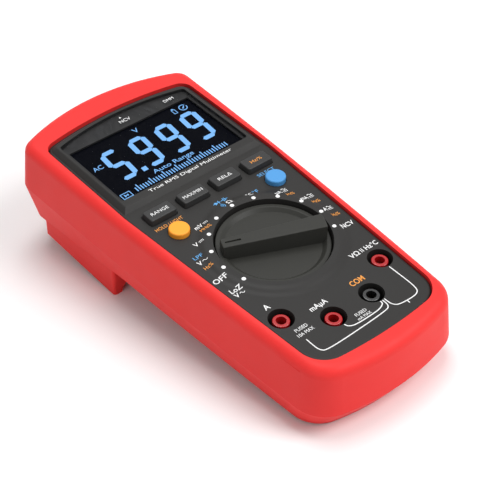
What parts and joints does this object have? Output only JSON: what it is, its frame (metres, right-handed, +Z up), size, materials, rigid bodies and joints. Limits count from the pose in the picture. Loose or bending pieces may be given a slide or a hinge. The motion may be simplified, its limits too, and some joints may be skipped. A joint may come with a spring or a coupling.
{
  "type": "handheld digital multimeter",
  "caption": "Handheld digital multimeter in a soft boot with a wide display, a row of keys, a rotary function switch, input jacks, probe holders and a folding stand.",
  "frame": {"origin": "centre of the bounding box at the resting surface", "axes": "+Y from the jack end towards the display, +X to the user's right, +Z up; the meter lies on its back, tipped 7.3 degrees about X by its probe holders"},
  "size_m": [0.0882, 0.1908, 0.0533],
  "materials": {
    "holster_rubber": "satin",
    "face_plastic": "fine texture",
    "back_plastic": "fine texture",
    "seal_rubber": "smooth",
    "screw_steel": "zinc plated",
    "cell_jacket": "printed sleeve",
    "spring_steel": "nickel plated",
    "window_clear": "clear",
    "lcd_dark": "polished",
    "light_guide": "frosted",
    "zebra_rubber": "striped",
    "frame_plastic": "moulded",
    "board_laminate": "solder mask",
    "chip_epoxy": "moulded",
    "shield_tin": "tin plated",
    "shunt_alloy": "drawn wire",
    "fuse_ceramic": "glazed body with metal caps",
    "clip_brass": "stamped",
    "membrane_rubber": "silicone",
    "key_rubber": "satin",
    "button_orange": "satin",
    "button_blue": "satin",
    "knob_plastic": "satin",
    "jack_red": "gloss",
    "jack_black": "gloss",
    "socket_brass": "turned and plated",
    "stand_plastic": "fine texture"
  },
  "bodies": {
    "case": {"holster": "holster_rubber", "front_housing": "face_plastic", "rear_housing": "back_plastic", "case_screws": "screw_steel", "board_screws": "screw_steel", "battery_cells": "cell_jacket", "battery_contacts": "spring_steel", "display_window": "window_clear", "lcd_glass": "lcd_dark", "backlight_panel": "light_guide", "lcd_connector_strips": "zebra_rubber", "lcd_frame": "frame_plastic", "main_board": "board_laminate", "board_chips": "chip_epoxy", "shield_plate": "shield_tin", "field_antenna": "shield_tin", "buzzer": "chip_epoxy", "current_shunt": "shunt_alloy", "main_fuse": "fuse_ceramic", "milliamp_fuse": "fuse_ceramic", "fuse_clips": "clip_brass", "key_membrane": "membrane_rubber", "ampere_shroud": "jack_red", "milliampere_shroud": "jack_red", "common_shroud": "jack_black", "volt_shroud": "jack_red", "ampere_socket": "socket_brass", "milliampere_socket": "socket_brass", "common_socket": "socket_brass", "volt_socket": "socket_brass", "stand_hinge_pin": "screw_steel"},
    "battery_door": {"battery_door": "back_plastic", "battery_seal": "seal_rubber", "door_screws": "screw_steel"},
    "function_knob": {"function_knob": "knob_plastic", "knob_seal_ring": "seal_rubber", "switch_rotor": "frame_plastic", "detent_springs": "spring_steel", "detent_balls": "spring_steel", "wiper_contacts": "clip_brass"},
    "tilt_stand": {"tilt_stand": "stand_plastic"},
    "range_key": {"range_key": "key_rubber"},
    "peak_key": {"peak_key": "key_rubber"},
    "relative_key": {"relative_key": "key_rubber"},
    "frequency_key": {"frequency_key": "key_rubber"},
    "hold_button": {"hold_button": "button_orange"},
    "select_button": {"select_button": "button_blue"}
  },
  "joints": [
    {"name": "knob_turn", "type": "hinge", "parent": "case", "child": "function_knob", "pos_m": [0, -0.02673, 0.03489], "axis": [0, -0.1265, 0.992], "range_deg": [-180, 45]},
    {"name": "stand_fold", "type": "hinge", "parent": "case", "child": "tilt_stand", "pos_m": [0, 0.03366, 0.01194], "axis": [-1, 0, 0], "range_deg": [0, 80]},
    {"name": "battery_door_lift", "type": "slide", "parent": "case", "child": "battery_door", "axis": [0, 0.1265, -0.992], "range_m": [0, 0.025]},
    {"name": "range_key_press", "type": "slide", "parent": "case", "child": "range_key", "axis": [0, 0.1265, -0.992], "range_m": [0, 0.0008], "stiffness_N_per_m": 1800},
    {"name": "peak_key_press", "type": "slide", "parent": "case", "child": "peak_key", "axis": [0, 0.1265, -0.992], "range_m": [0, 0.0008], "stiffness_N_per_m": 1800},
    {"name": "relative_key_press", "type": "slide", "parent": "case", "child": "relative_key", "axis": [0, 0.1265, -0.992], "range_m": [0, 0.0008], "stiffness_N_per_m": 1800},
    {"name": "frequency_key_press", "type": "slide", "parent": "case", "child": "frequency_key", "axis": [0, 0.1265, -0.992], "range_m": [0, 0.0008], "stiffness_N_per_m": 1800},
    {"name": "hold_button_press", "type": "slide", "parent": "case", "child": "hold_button", "axis": [0, 0.1265, -0.992], "range_m": [0, 0.0008], "stiffness_N_per_m": 1800},
    {"name": "select_button_press", "type": "slide", "parent": "case", "child": "select_button", "axis": [0, 0.1265, -0.992], "range_m": [0, 0.0008], "stiffness_N_per_m": 1800}
  ]
}
